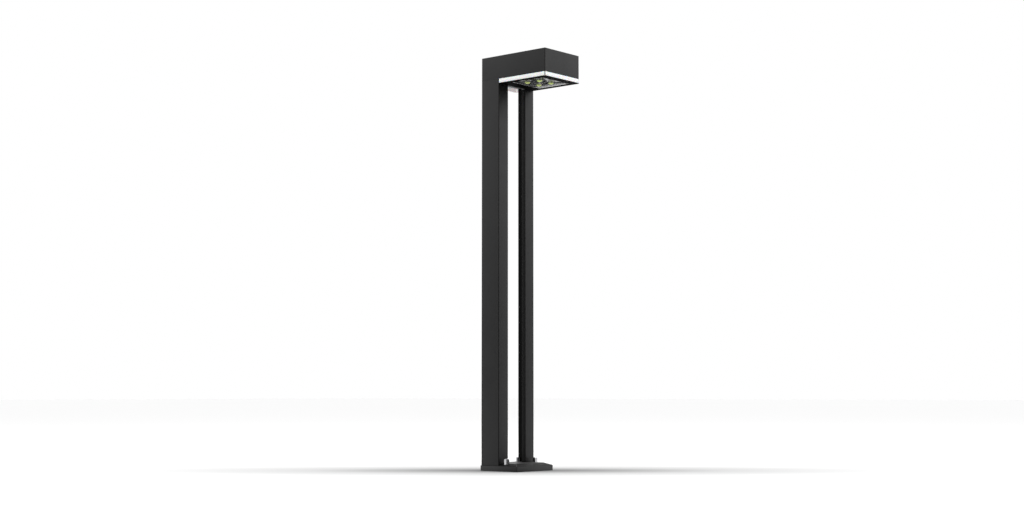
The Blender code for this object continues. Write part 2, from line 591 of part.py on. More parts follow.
def opal_diffuser():
    """Opal frame under the casing: a band round the head, open between the posts."""
    post_front = COLUMN_FRONT - FIT_GAP
    column_side = COLUMN_RIGHT + FIT_GAP
    slim_side = SLIM_LEFT - FIT_GAP
    slim_behind = SLIM_BACK + FIT_GAP
    seat_back = COLUMN_FRONT + STRIP_DEPTH + STRIP_SEAT_BEHIND
    inner_left = column_side + BAND_WALL
    inner_right = HEAD_RIGHT - BAND_WALL
    inner_back = HEAD_BACK - BAND_WALL
    side = [(HEAD_LEFT, HEAD_FRONT), (HEAD_RIGHT, HEAD_FRONT), (HEAD_RIGHT, post_front),
            (slim_side, post_front), (slim_side, seat_back), (inner_left, seat_back),
            (inner_left, inner_back), (inner_right, inner_back), (inner_right, slim_behind),
            (HEAD_RIGHT, slim_behind), (HEAD_RIGHT, HEAD_BACK), (column_side, HEAD_BACK),
            (column_side, post_front), (HEAD_LEFT, post_front)]
    window = rectangle(-LENS_HALF_X - FIT_GAP, LENS_HALF_X + FIT_GAP,
                       MODULE_Y - LENS_HALF_Y - FIT_GAP, MODULE_Y + LENS_HALF_Y + FIT_GAP)
    heads = [circle(centre, CASING_SCREW_HEAD + FIT_GAP) for centre in CASING_SCREWS.values()]
    shanks = [circle(centre, SMALL_SCREW_RADIUS + FIT_GAP) for centre in BEZEL_SCREWS.values()]
    outline("opal_diffuser", [side, window, *heads, *shanks], LENS_LOW, POST_TOP, OPAL)


def bezel():
    """Black frame that holds the lens plate up, the strip behind it between the posts, and their screws."""
    post_front = COLUMN_FRONT - FIT_GAP
    side = rectangle(HEAD_LEFT, HEAD_RIGHT, HEAD_FRONT, post_front)
    window = rectangle(-WINDOW_WIDTH / 2, WINDOW_WIDTH / 2, MODULE_Y - WINDOW_DEPTH / 2,
                       MODULE_Y + WINDOW_DEPTH / 2, WINDOW_CORNER)
    heads = {place: circle(centre, SMALL_SCREW_HEAD + FIT_GAP) for place, centre in BEZEL_SCREWS.items()}
    outline("bezel_frame", [side, window, heads["front_left"], heads["front_right"]], UNDERSIDE, BEZEL_TOP,
            BLACK)
    strip = rectangle(COLUMN_RIGHT + FIT_GAP, SLIM_LEFT - FIT_GAP, COLUMN_FRONT, COLUMN_FRONT + STRIP_DEPTH)
    outline("rear_strip", [strip, heads["back_left"], heads["back_right"]], UNDERSIDE, BEZEL_TOP, ALUMINIUM)
    head_low = UNDERSIDE + FIT_GAP / 2
    for place, centre in BEZEL_SCREWS.items():
        screw("bezel_screw_" + place, centre, SMALL_SCREW_HEAD, head_low,
              head_low + SMALL_SCREW_HEAD_HEIGHT, SMALL_SCREW_RADIUS, CHASSIS_TOP, countersunk=True)


def inside_layer(name, holes, z_low, z_high, finish):
    """A layer of the LED module inside its gasket, with a hole for the middle screw."""
    side = rectangle(-INSIDE_HALF_X, INSIDE_HALF_X, MODULE_Y - INSIDE_HALF_Y, MODULE_Y + INSIDE_HALF_Y)
    middle = circle(LENS_SCREW, SMALL_SCREW_RADIUS + FIT_GAP)
    outline(name, [side, middle, *holes], z_low, z_high, finish)


def dome_profile(radius, drop, top):
    """Profile of a round plug from its top down to a domed end, which starts at the lens plate."""
    arc = [math.pi / 2 * step / DOME_STEPS for step in range(1, DOME_STEPS)]
    profile = [(0.0, top), (radius, top), (radius, LENS_LOW)]
    profile += [(radius * math.cos(a), LENS_LOW - drop * math.sin(a)) for a in arc]
    profile.append((0.0, LENS_LOW - drop))
    return profile


def lens_plate():
    """Clear plate with a hollow lens under each LED."""
    plate = block("lens_plate", (-LENS_HALF_X, MODULE_Y - LENS_HALF_Y, LENS_LOW),
                  (LENS_HALF_X, MODULE_Y + LENS_HALF_Y, LENS_TOP), CLEAR)
    middle = (LENS_LOW + LENS_TOP) / 2
    for centre in LED_PLACES:
        lens = turned("lens", centre, dome_profile(LENS_RADIUS, LENS_DROP, middle), CLEAR)
        as_cutter(lens)
        boolean(plate, lens, "UNION")
    for centre in LED_PLACES:
        hollow = turned("hollow", centre, dome_profile(LENS_RADIUS - LENS_WALL, LENS_DROP - LENS_WALL,
                                                       LENS_TOP + CUT_PAST), CLEAR)
        as_cutter(hollow)
        boolean(plate, hollow)
    drill(plate, LENS_SCREW, SMALL_SCREW_RADIUS + FIT_GAP, LENS_LOW - CUT_PAST, LENS_TOP + CUT_PAST)


def led_module():
    """Lens plate, gasket, reflector, board, heat spreader and four LEDs in their holders."""
    lens_plate()
    frame = []
    for inset in (0.0, GASKET_WALL):
        half_x = LENS_HALF_X - inset
        half_y = LENS_HALF_Y - inset
        frame.append(rectangle(-half_x, half_x, MODULE_Y - half_y, MODULE_Y + half_y))
    outline("lens_gasket", frame, LENS_TOP + FIT_GAP, MODULE_TOP, RUBBER)
    sockets = [circle(centre, HOLDER_RADIUS + FIT_GAP, ROUND_STEPS) for centre in LED_PLACES]
    inside_layer("reflector_plate", sockets, TRAY_LOW, TRAY_TOP, REFLECTOR)
    inside_layer("led_board", [], BOARD_LOW, BOARD_TOP, BOARD)
    inside_layer("heat_spreader", [circle((0.0, LEAD_HOLE_Y), LEAD_HOLE_RADIUS)],
                 BOARD_TOP + FIT_GAP, MODULE_TOP, ALUMINIUM)
    for number, centre in enumerate(LED_PLACES, start=1):
        rim = circle(centre, HOLDER_RADIUS, ROUND_STEPS)
        ring = [rim, circle(centre, LED_RADIUS + FIT_GAP, ROUND_STEPS)]
        outline(f"led_holder_{number}", ring, TRAY_LOW, TRAY_TOP, PLASTIC)
        turned(f"led_{number}", centre, dome_profile(LED_RADIUS, LED_DROP, TRAY_TOP), PHOSPHOR)
    screw("lens_screw", LENS_SCREW, SMALL_SCREW_HEAD, LENS_LOW - FIT_GAP - SMALL_SCREW_HEAD_HEIGHT,
          LENS_LOW - FIT_GAP, SMALL_SCREW_RADIUS, CHASSIS_TOP)


def driver():
    """LED driver with a screw tab at each end, and its screws."""
    low = CHASSIS_TOP + FIT_GAP
    high = low + DRIVER_HEIGHT
    half_x = DRIVER_LENGTH / 2
    half_y = DRIVER_DEPTH / 2
    tab_top = low + DRIVER_TAB_THICKNESS
    body = block("led_driver", (-half_x, DRIVER_Y - half_y, low), (half_x, DRIVER_Y + half_y, high),
                 WHITE_PLASTIC)
    tab = block("driver_tab", (-half_x - DRIVER_TAB, DRIVER_Y - DRIVER_TAB, low),
                (half_x + DRIVER_TAB, DRIVER_Y + DRIVER_TAB, tab_top))
    boolean(body, tab, "UNION")
    for place, centre in DRIVER_SCREWS.items():
        drill(body, centre, SMALL_SCREW_RADIUS + FIT_GAP, low - CUT_PAST, high + CUT_PAST)
        screw("driver_screw_" + place, centre, SMALL_SCREW_HEAD, tab_top + FIT_GAP,
              tab_top + FIT_GAP + SMALL_SCREW_HEAD_HEIGHT, SMALL_SCREW_RADIUS, CHASSIS_LOW)


def supply_cable():
    """Cable up the wide post, bent over to the terminal block."""
    bend_z = CHASSIS_TOP + FIT_GAP
    route = [(COLUMN_X, COLUMN_Y, FIT_GAP), (COLUMN_X, COLUMN_Y, bend_z)]
    for step in range(1, BEND_STEPS + 1):
        angle = math.pi / 2 * step / BEND_STEPS
        route.append((COLUMN_X + CABLE_BEND * (1 - math.cos(angle)), COLUMN_Y,
                      bend_z + CABLE_BEND * math.sin(angle)))
    route.append((-TERMINAL_WIDTH / 2 - FIT_GAP, COLUMN_Y, bend_z + CABLE_BEND))
    tube("supply_cable", route, CABLE_RADIUS, RUBBER)


def wiring():
    """Terminal block with its earth screw, and the leads between the pieces."""
    low = CHASSIS_TOP + FIT_GAP
    block("terminal_block", (-TERMINAL_WIDTH / 2, TERMINAL_FRONT, low),
          (TERMINAL_WIDTH / 2, TERMINAL_BACK, low + TERMINAL_HEIGHT), WHITE_PLASTIC)
    screw("earth_screw", EARTH_SCREW, SMALL_SCREW_HEAD, low, low + SMALL_SCREW_HEAD_HEIGHT,
          SMALL_SCREW_RADIUS, CHASSIS_LOW)
    lead_z = low + LEAD_RISE
    start = DRIVER_BACK + FIT_GAP
    for name, x, finish in (("brown", -MAINS_LEAD_X, RED_WIRE), ("blue", MAINS_LEAD_X, BLUE_WIRE)):
        route = [(x, TERMINAL_FRONT - FIT_GAP, lead_z), (x, start, lead_z)]
        tube(f"mains_lead_{name}", route, LEAD_RADIUS, finish)
    for name, x, finish in (("plus", -LED_LEAD_X, RED_WIRE), ("minus", LED_LEAD_X, BLUE_WIRE)):
        route = [(x, start, lead_z)]
        for step in range(BEND_STEPS // 2 + 1):
            angle = math.pi / 2 * step / (BEND_STEPS // 2)
            route.append((x, LEAD_HOLE_Y - LEAD_BEND * (1 - math.sin(angle)),
                          lead_z - LEAD_BEND * (1 - math.cos(angle))))
        route.append((x, LEAD_HOLE_Y, BOARD_TOP + FIT_GAP))
        tube(f"led_lead_{name}", route, LEAD_RADIUS, finish)


def casing_screws():
    """Screws up through the chassis plate into the casing's bosses."""
    head_top = CHASSIS_LOW - FIT_GAP
    for place, centre in CASING_SCREWS.items():
        screw("casing_screw_" + place, centre, CASING_SCREW_HEAD, head_top - CASING_SCREW_HEAD_HEIGHT,
              head_top, CASING_SCREW_RADIUS, CHASSIS_TOP + CASING_SCREW_GRIP)


base_plate()
anchors()
ring_grommet("base_grommet", (COLUMN_X, COLUMN_Y), FIT_GAP, PLATE_EDGE - FIT_GAP)
left_column()
column_plugs()
slim_post()
post_screws()
head_casing()
chassis_plate()
ring_grommet("chassis_grommet", (COLUMN_X, COLUMN_Y), CHASSIS_LOW, CHASSIS_TOP)
casing_screws()
opal_diffuser()
bezel()
led_module()
driver()
supply_cable()
wiring()
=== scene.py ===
"""Looks of the bollard light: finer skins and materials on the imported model, a studio and a camera."""

import json
import math

import bmesh
import bpy
from mathutils import Matrix, Vector


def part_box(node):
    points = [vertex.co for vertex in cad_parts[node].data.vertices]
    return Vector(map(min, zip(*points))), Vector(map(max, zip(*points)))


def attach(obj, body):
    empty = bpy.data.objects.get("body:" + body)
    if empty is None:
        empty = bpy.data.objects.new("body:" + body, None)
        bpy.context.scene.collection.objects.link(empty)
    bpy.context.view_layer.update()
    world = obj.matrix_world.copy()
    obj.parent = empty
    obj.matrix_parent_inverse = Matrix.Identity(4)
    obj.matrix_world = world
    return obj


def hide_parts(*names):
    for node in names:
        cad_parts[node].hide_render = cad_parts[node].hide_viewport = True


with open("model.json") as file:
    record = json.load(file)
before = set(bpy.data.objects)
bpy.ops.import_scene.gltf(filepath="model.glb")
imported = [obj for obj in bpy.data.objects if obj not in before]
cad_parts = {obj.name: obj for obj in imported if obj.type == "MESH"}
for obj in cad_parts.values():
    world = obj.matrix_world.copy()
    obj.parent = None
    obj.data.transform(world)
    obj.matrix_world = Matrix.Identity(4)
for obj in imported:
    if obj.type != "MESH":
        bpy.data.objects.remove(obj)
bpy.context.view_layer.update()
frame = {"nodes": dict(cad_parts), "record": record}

MM = 0.001

# --- Sizes of the finer surfaces ----------------------------------------------------------------

CASING_EDGE = 1.3 * MM
CASING_WALL = 3 * MM
COLUMN_EDGE = 1.3 * MM
COLUMN_WALL = 3 * MM
SLIM_BAR_DEPTH = 10.5 * MM
SLIM_FLANGE = 3 * MM
SLIM_EDGE = 0.5 * MM
SLIM_FILLET = 1.2 * MM              # inside the angle of the slim post
CUT_EDGE = 0.25 * MM                # broken edge at a post's sawn end
PLATE_EDGE_HEIGHT = 11.5 * MM
PLATE_ROUND = 0.8 * MM
HIP_INSET = 19.5 * MM
BEZEL_EDGE = 0.35 * MM
BEZEL_CORNER = 0.5 * MM
STRIP_CORNER = 0.4 * MM
REFLECTOR_CORNER = 0.6 * MM
FINE_EDGE = 0.15 * MM
SEAT_GAP = 0.2 * MM
WINDOW_CORNER = 2 * MM
BAND_CORNER = 1.3 * MM
BAND_WALL = 4 * MM
BAND_GAP = 0.3 * MM                 # between the opal band and its neighbours
SEAT_BEHIND = 2 * MM                # how far the opal band reaches behind the grey strip
SCREW_HEAD_BORE = 3.05 * MM
SHANK_RADIUS = 1.5 * MM
SHANK_BORE = 1.8 * MM
HEAD_HEIGHT = 1.2 * MM              # of the small screws
CASING_SCREW_BORE = 3.8 * MM
POST_SCREW_BORE = 2.8 * MM
COUNTERBORE = 3.7 * MM              # depth of the holes for the post screws' heads
BOSS_RADIUS = 4.5 * MM
BOSS_BORE = 2.3 * MM
LENS_LAP = 3 * MM
LENS_RADIUS = 7.3 * MM
LENS_WALL = 1 * MM
LENS_DOME = 4.6 * MM
LENS_FILLET = 0.5 * MM              # where a lens meets its plate
LED_DOME = 3.2 * MM
LED_RIM = 0.3 * MM                  # from the ceramic base's side in to the phosphor dome
HOLDER_LIP = 0.4 * MM               # how deep a holder's dish is
HOLDER_RIM = 0.8 * MM               # flat rim round the dish
HOLDER_BOTTOM = 0.6 * MM            # flat bottom of the dish, round the LED
SCREW_SOCKET = 1.25 * MM            # across a socket's corners, halved
SOCKET_DEPTH = 0.7 * MM
LENS_SOCKET_SHARE = 0.8             # the lens screw's socket, of the others'
LENS_HEAD_SHARE = 0.45              # flat middle of the lens screw's head, of its radius
NUT_CHAMFER = 0.4 * MM
NUT_CORNER = 5.77 * MM              # from a nut's axis to its corners
NUT_FLAT = 5 * MM                   # from a nut's axis to its sides
NUT_DOME_RISE = 1.5 * MM
NUT_DOME_INSET = 0.2 * MM
NUT_DOME_SINK = 1 * MM              # how far the dome reaches into the hexagon
NUT_TURNS = {"front_left": 0.0, "front_right": 10.5, "back_right": -19.5}  # degrees
STUD_BORE = 3.3 * MM
NUT_HEX_HEIGHT = 10.2 * MM
NUT_BORE = 7.7 * MM
PAST = 5 * MM                       # how far a cutter runs past the face that it cuts

ROUND_STEPS = 48
HOLE_STEPS = 24
DOME_STEPS = 10
CORNER_STEPS = 5
EDGE_STEPS = 2

# --- Camera and studio --------------------------------------------------------------------------

CAMERA_PLACE = (-2.639, -2.2404, 0.168)
CAMERA_HEADING = 49.5               # degrees from +Y towards +X
CAMERA_TILT = 4.85                  # degrees up
CAMERA_LENS = 55.9
SKY_STRENGTH = 1.15
FLOOR_SIZE = 60.0
SHADE_LENGTH = 1.5                  # half-length of the painted soft shadow on the floor
SHADE_DEPTH = 0.4
SHADE_HEADING = 49.5                # of its short way
SKY_DIM = 0.1                       # strength on the unlit side
DARK_SIDE = (-0.76, -0.65, 0.1)     # the studio's unlit side
SKY_FADE = (0.55, 0.85)             # how nearly a way points to the dark side, where the sky fades
FLOOR_DROP = 0.0002
FLOOR_FADE = (0.6, 0.85)            # the same for the painted shade in the floor's colour for other rays than the camera's
FLOOR_DIM = 0.04
POOL_RADII = (1.2, 2.4)             # between these the painted pool of light in the floor's colour fades out
POOL_LIGHT = (0.6, 0.02)
LIGHTS = (                          # name, place, target, size in metres, power in watts
    ("front_light", (1.6, -3.2, 2.0), (0.0, 0.0, 0.6), 1.6, 14.0),
    ("top_light", (0.0, 0.4, 3.2), (0.0, 0.0, 0.0), 2.4, 40.0),
)
# Greys of the painted soft shadow on the floor: stops out from the middle, and the grey in the middle.
SHADE_STOPS = ((0.12, 0.36), (0.3, 0.6), (0.6, 0.8))
SHADE_MIDDLE = 0.2
FLOOR_PALE = 0.95


# --- Materials ----------------------------------------------------------------------------------

def node(tree, kind, inputs=None, **settings):
    """Add a shader node. An input that is given an output is linked to it, any other is set."""
    made = tree.nodes.new(kind)
    for name, value in settings.items():
        setattr(made, name, value)
    for key, value in (inputs or {}).items():
        if isinstance(value, bpy.types.NodeSocket):
            tree.links.new(value, made.inputs[key])
        else:
            made.inputs[key].default_value = value
    return made


def spread(tree, factor, low, high):
    """A number that runs from low to high as the factor runs over the middle of its range."""
    return node(tree, "ShaderNodeMapRange", {"Value": factor, "From Min": 0.3, "From Max": 0.7,
                                             "To Min": low, "To Max": high}).outputs["Result"]


def tint(tree, factor, dark, light):
    """A colour between two, chosen by the factor."""
    ramp = node(tree, "ShaderNodeValToRGB", {"Fac": factor})
    ramp.color_ramp.elements[0].position = 0.3
    ramp.color_ramp.elements[0].color = (*dark, 1.0)
    ramp.color_ramp.elements[1].position = 0.7
    ramp.color_ramp.elements[1].color = (*light, 1.0)
    return ramp.outputs["Color"]


def finish(name, dark, light, rough, patch, grain, depth, stretch=(1.0, 1.0, 1.0), **sockets):
    """A material whose colour and roughness drift over patches, under a fine grained bump.

    rough is the lowest and highest roughness, patch and grain are sizes in metres, depth is the
    height of the grain, and stretch shortens the grain along an axis. Other values are set on the
    shader's sockets, with _ for each space.
    """
    made = bpy.data.materials.new(name)
    made.use_nodes = True
    tree = made.node_tree
    shader = tree.nodes["Principled BSDF"]
    for socket, value in sockets.items():
        shader.inputs[socket.replace("_", " ")].default_value = value
    place = node(tree, "ShaderNodeTexCoord").outputs["Object"]
    coarse = {"Vector": place, "Scale": 1 / patch, "Detail": 5.0}
    drift = node(tree, "ShaderNodeTexNoise", coarse).outputs["Fac"]
    tree.links.new(tint(tree, drift, dark, light), shader.inputs["Base Color"])
    tree.links.new(spread(tree, drift, *rough), shader.inputs["Roughness"])
    lay = node(tree, "ShaderNodeMapping", {"Vector": place, "Scale": stretch}).outputs["Vector"]
    fine = node(tree, "ShaderNodeTexNoise", {"Vector": lay, "Scale": 1 / grain, "Detail": 3.0}).outputs["Fac"]
    bump = node(tree, "ShaderNodeBump", {"Height": fine, "Strength": 0.5, "Distance": depth})
    tree.links.new(bump.outputs["Normal"], shader.inputs["Normal"])
    return made


PAINT = finish("graphite_powder_coat", (0.013, 0.013, 0.0135), (0.019, 0.019, 0.0195), (0.42, 0.52),
               40 * MM, 0.7 * MM, 0.05 * MM, Specular_IOR_Level=0.36)
# Painted shade: a darker coat on the rounded edges of the posts, base plate and casing, and on the opal
# band's front corners.
PAINT_EDGE_SHADE = finish("powder_coat_painted_edge_shade", (0.003, 0.003, 0.003), (0.006, 0.006, 0.006), (0.45, 0.6),
                    8 * MM, 0.7 * MM, 0.05 * MM, Specular_IOR_Level=0.12)
# Painted shade: near-black coat on the slim post's faces inside its angle, facing the column.
PAINT_INSIDE_SHADE = finish("powder_coat_painted_shade_inside_angle", (0.003, 0.003, 0.003), (0.005, 0.005, 0.005), (0.55, 0.7),
                      30 * MM, 0.7 * MM, 0.05 * MM, Specular_IOR_Level=0.05)
# Painted shade: darker coat on the left face of the slim post's bar, towards the column.
PAINT_SHADED = finish("powder_coat_painted_shade_behind_bar", (0.019, 0.019, 0.019), (0.027, 0.027, 0.027), (0.5, 0.6),
                      30 * MM, 0.7 * MM, 0.05 * MM, Specular_IOR_Level=0.15)
BLACK = finish("black_enamel", (0.001, 0.001, 0.001), (0.004, 0.004, 0.004), (0.35, 0.5),
               25 * MM, 0.9 * MM, 0.03 * MM, Specular_IOR_Level=0.03)
STRIP = finish("satin_grey_strip", (0.22, 0.22, 0.22), (0.29, 0.29, 0.29), (0.5, 0.6),
               10 * MM, 0.6 * MM, 0.03 * MM, stretch=(6.0, 1.0, 1.0), Specular_IOR_Level=0.1)
# The weak emission is a painted glow that brightens the band; it is not light from the LEDs.
OPAL_PAINTED_GLOW = finish("opal_acrylic", (0.9, 0.9, 0.9), (0.95, 0.95, 0.95), (0.3, 0.42),
              20 * MM, 0.5 * MM, 0.015 * MM, Subsurface_Weight=0.4, Subsurface_Scale=0.004,
              Emission_Color=(1.0, 1.0, 1.0, 1.0), Emission_Strength=0.38)
CLEAR = finish("clear_acrylic", (0.97, 0.985, 0.98), (1.0, 1.0, 1.0), (0.02, 0.06),
               15 * MM, 2.0 * MM, 0.01 * MM, Transmission_Weight=1.0, IOR=1.06)
STEEL = finish("polished_stainless", (0.6, 0.6, 0.62), (0.76, 0.76, 0.77), (0.06, 0.14),
               4 * MM, 0.4 * MM, 0.006 * MM, stretch=(1.0, 1.0, 6.0), Metallic=1.0)
ZINC = finish("bright_zinc", (0.52, 0.53, 0.55), (0.66, 0.66, 0.66), (0.25, 0.38),
              3 * MM, 0.3 * MM, 0.01 * MM, Metallic=1.0)
ALUMINIUM = finish("mill_aluminium", (0.52, 0.53, 0.54), (0.64, 0.65, 0.66), (0.32, 0.48),
                   18 * MM, 0.35 * MM, 0.012 * MM, stretch=(8.0, 0.4, 1.0), Metallic=1.0)
REFLECTOR = finish("satin_reflector", (0.12, 0.12, 0.125), (0.2, 0.2, 0.205), (0.6, 0.75),
                   6 * MM, 0.5 * MM, 0.02 * MM, Metallic=1.0)
PLASTIC = finish("black_moulding", (0.012, 0.012, 0.012), (0.022, 0.022, 0.023), (0.45, 0.6),
                 10 * MM, 0.3 * MM, 0.02 * MM)
WHITE_PLASTIC = finish("white_moulding", (0.68, 0.68, 0.65), (0.78, 0.78, 0.75), (0.4, 0.55),
                       22 * MM, 0.5 * MM, 0.02 * MM)
CERAMIC = finish("white_ceramic", (0.76, 0.76, 0.72), (0.86, 0.86, 0.82), (0.35, 0.5),
                 2 * MM, 0.2 * MM, 0.01 * MM)
# The weak emission is a painted glow that brightens the phosphor; it is not the LEDs' own light.
PHOSPHOR_PAINTED_GLOW = finish("led_phosphor", (0.56, 0.66, 0.16), (0.7, 0.78, 0.26), (0.25, 0.35),
                  2.5 * MM, 0.25 * MM, 0.012 * MM, Specular_IOR_Level=0.3,
                  Subsurface_Weight=0.2, Subsurface_Scale=0.001,
                  Emission_Color=(0.72, 0.82, 0.3, 1.0), Emission_Strength=0.35)
RUBBER = finish("black_rubber", (0.014, 0.014, 0.014), (0.03, 0.03, 0.029), (0.7, 0.85),
                8 * MM, 0.25 * MM, 0.03 * MM)
RED_WIRE = finish("red_insulation", (0.3, 0.03, 0.02), (0.42, 0.06, 0.03), (0.4, 0.5),
                  6 * MM, 0.3 * MM, 0.01 * MM)
BLUE_WIRE = finish("blue_insulation", (0.02, 0.07, 0.3), (0.04, 0.11, 0.42), (0.4, 0.5),
                   6 * MM, 0.3 * MM, 0.01 * MM)


def circuit_board():
    """White solder mask with raised tracks."""
    made = finish("white_circuit_board", (0.7, 0.71, 0.7), (0.78, 0.79, 0.78), (0.32, 0.42),
                  12 * MM, 0.4 * MM, 0.01 * MM)
    tree = made.node_tree
    place = node(tree, "ShaderNodeTexCoord").outputs["Object"]
    tracks = node(tree, "ShaderNodeTexBrick", {"Vector": place, "Scale": 60.0, "Mortar Size": 0.01},
                  offset=0.5).outputs["Fac"]
    shader = tree.nodes["Principled BSDF"]
    grain = shader.inputs["Normal"].links[0].from_socket
    bump = node(tree, "ShaderNodeBump", {"Height": tracks, "Strength": 0.6, "Distance": 0.05 * MM,
                                         "Normal": grain})
    tree.links.new(bump.outputs["Normal"], shader.inputs["Normal"])
    return made


BOARD = circuit_board()


# --- Shape helpers ------------------------------------------------------------------------------

def from_bmesh(name, bm):
    """A mesh object of a bmesh, with its faces pointing out."""
    bmesh.ops.recalc_face_normals(bm, faces=bm.faces)
    mesh = bpy.data.meshes.new(name)
    bm.to_mesh(mesh)
    bm.free()
    made = bpy.data.objects.new(name, mesh)
    bpy.context.scene.collection.objects.link(made)
    return made


def bake(made):
    """Apply an object's modifiers to its mesh."""
    graph = bpy.context.evaluated_depsgraph_get()
    mesh = bpy.data.meshes.new_from_object(made.evaluated_get(graph))
    made.modifiers.clear()
    made.data = mesh


def carve(target, tool, operation="DIFFERENCE"):
    """Cut the tool from the target, or join it or keep what they share, and remove the tool."""
    step = target.modifiers.new("carve", "BOOLEAN")
    step.operation = operation
    step.solver = "EXACT"
    step.object = tool
    bake(target)
    bpy.data.objects.remove(tool, do_unlink=True)


def box_bmesh(low, high):
    """A bmesh box between two corners."""
    size = [b - a for a, b in zip(low, high)]
    middle = [(a + b) / 2 for a, b in zip(low, high)]
    bm = bmesh.new()
    bmesh.ops.create_cube(bm, size=1.0, matrix=Matrix.Translation(middle) @ Matrix.Diagonal((*size, 1.0)))
    return bm


def turned(name, centre, profile, steps=ROUND_STEPS):
    """A turned object from a list of (radius, z)."""
    bm = bmesh.new()
    verts = [bm.verts.new((radius, 0.0, z)) for radius, z in profile]
    edges = [bm.edges.new(pair) for pair in zip(verts, verts[1:])]
    bmesh.ops.spin(bm, geom=verts + edges, cent=(0.0, 0.0, 0.0), axis=(0.0, 0.0, 1.0),
                   angle=2 * math.pi, steps=steps)
    bmesh.ops.remove_doubles(bm, verts=bm.verts, dist=0.000001)
    bmesh.ops.translate(bm, verts=bm.verts, vec=(*centre, 0.0))
    return from_bmesh(name, bm)


def prism(name, centre, radius, z_low, z_high, sides=6, turn=0.0):
    """A regular prism standing upright."""
    bm = bmesh.new()
    place = Matrix.Translation((*centre, (z_low + z_high) / 2)) @ Matrix.Rotation(turn, 4, "Z")
    bmesh.ops.create_cone(bm, cap_ends=True, segments=sides, radius1=radius, radius2=radius,
                          depth=z_high - z_low, matrix=place)
    return from_bmesh(name, bm)


def rounded(corners, radii):
    """A right-angled polygon with each corner rounded by its own radius."""
    points = []
    count = len(corners)
    for i in range(count):
        corner = Vector(corners[i])
        radius = radii[i] if isinstance(radii, (list, tuple)) else radii
        into = (corner - Vector(corners[i - 1])).normalized()
        out = (Vector(corners[(i + 1) % count]) - corner).normalized()
        centre = corner - into * radius + out * radius
        for step in range(CORNER_STEPS + 1):
            angle = math.pi / 2 * step / CORNER_STEPS
            points.append(centre - out * radius * math.cos(angle) + into * radius * math.sin(angle))
    return points


def rectangle(x_low, x_high, y_low, y_high):
    """Corners of a rectangle, anticlockwise."""
    return [(x_low, y_low), (x_high, y_low), (x_high, y_high), (x_low, y_high)]


def circle(centre, radius, steps=ROUND_STEPS):
    """Points round a circle, anticlockwise."""
    angles = [2 * math.pi * step / steps for step in range(steps)]
    return [(centre[0] + radius * math.cos(a), centre[1] + radius * math.sin(a)) for a in angles]


def slab(name, side, holes, z_low, z_high, edge):
    """A flat piece of a side outline and holes, with its edges rounded."""
    curve = bpy.data.curves.new(name, "CURVE")
    curve.dimensions = "2D"
    curve.fill_mode = "BOTH"
    curve.extrude = (z_high - z_low) / 2 - edge
    curve.bevel_depth = edge
    curve.bevel_resolution = EDGE_STEPS
    curve.offset = -edge
    for points in [list(reversed(side)), *holes]:
        spline = curve.splines.new("POLY")
        spline.points.add(len(points) - 1)
        for point, place in zip(spline.points, points):
            point.co = (place[0], place[1], 0.0, 1.0)
        spline.use_cyclic_u = True
    source = bpy.data.objects.new(name, curve)
    source.location = (0.0, 0.0, (z_low + z_high) / 2)
    bpy.context.scene.collection.objects.link(source)
    graph = bpy.context.evaluated_depsgraph_get()
    bm = bmesh.new()
    bm.from_mesh(bpy.data.meshes.new_from_object(source.evaluated_get(graph)))
    bmesh.ops.remove_doubles(bm, verts=bm.verts, dist=0.000002)
    bmesh.ops.translate(bm, verts=bm.verts, vec=source.location)
    bpy.data.objects.remove(source, do_unlink=True)
    return from_bmesh(name, bm)


def mark_edges(made, first, second):
    """Give flat sides the first material, and rounded edges between them the second, which carries the
    painted edge shade.
    """
    made.data.materials.clear()
    made.data.materials.append(first)
    made.data.materials.append(second)
    for face in made.data.polygons:
        face.material_index = 0 if max(abs(c) for c in face.normal) > 0.95 else 1


def show(made, slot, *replaced, material=None, smooth=35):
    """Make an object a piece of the light: its material, shading and body; hide the nodes it stands for. The
    slot is not used.
    """
    if material is not None:
        made.data.materials.clear()
        made.data.materials.append(material)
        for face in made.data.polygons:
            face.material_index = 0
    made.data.shade_smooth()
    made.data.set_sharp_from_angle(angle=math.radians(smooth))
    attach(made, "root")
    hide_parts(*replaced)
    return made


def middle(name):
    """Middle of a CAD node in plan."""
    low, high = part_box(name)
    return ((low.x + high.x) / 2, (low.y + high.y) / 2)


# --- Posts and base -----------------------------------------------------------------------------

CASING_LOW, CASING_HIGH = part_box("head_casing")
COLUMN_LOW, COLUMN_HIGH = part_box("left_column")
SLIM_LOW, SLIM_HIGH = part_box("slim_post")
ANCHOR_PLACES = ("front_left", "front_right", "back_right")


def column():
    """Rectangular tube, taken up to the casing."""
    side = rounded(rectangle(COLUMN_LOW.x, COLUMN_HIGH.x, COLUMN_LOW.y, COLUMN_HIGH.y), COLUMN_EDGE)
    inside = rounded(rectangle(COLUMN_LOW.x + COLUMN_WALL, COLUMN_HIGH.x - COLUMN_WALL,
                               COLUMN_LOW.y + COLUMN_WALL, COLUMN_HIGH.y - COLUMN_WALL), CUT_EDGE)
    skin = slab("column_skin", side, [inside], COLUMN_LOW.z, CASING_LOW.z, CUT_EDGE)
    mark_edges(skin, PAINT, PAINT_EDGE_SHADE)
    show(skin, "graphite_paint", "left_column")


def slim_outline(grow):
    """Plan of the slim post, grown on all sides."""
    bar_back = SLIM_LOW.y + SLIM_BAR_DEPTH + grow
    flange_left = SLIM_HIGH.x - SLIM_FLANGE - grow
    low_x = SLIM_LOW.x - grow
    high_x = SLIM_HIGH.x + grow
    low_y = SLIM_LOW.y - grow
    high_y = SLIM_HIGH.y + grow
    return [(low_x, low_y), (high_x, low_y), (high_x, high_y), (flange_left, high_y),
            (flange_left, bar_back), (low_x, bar_back)]


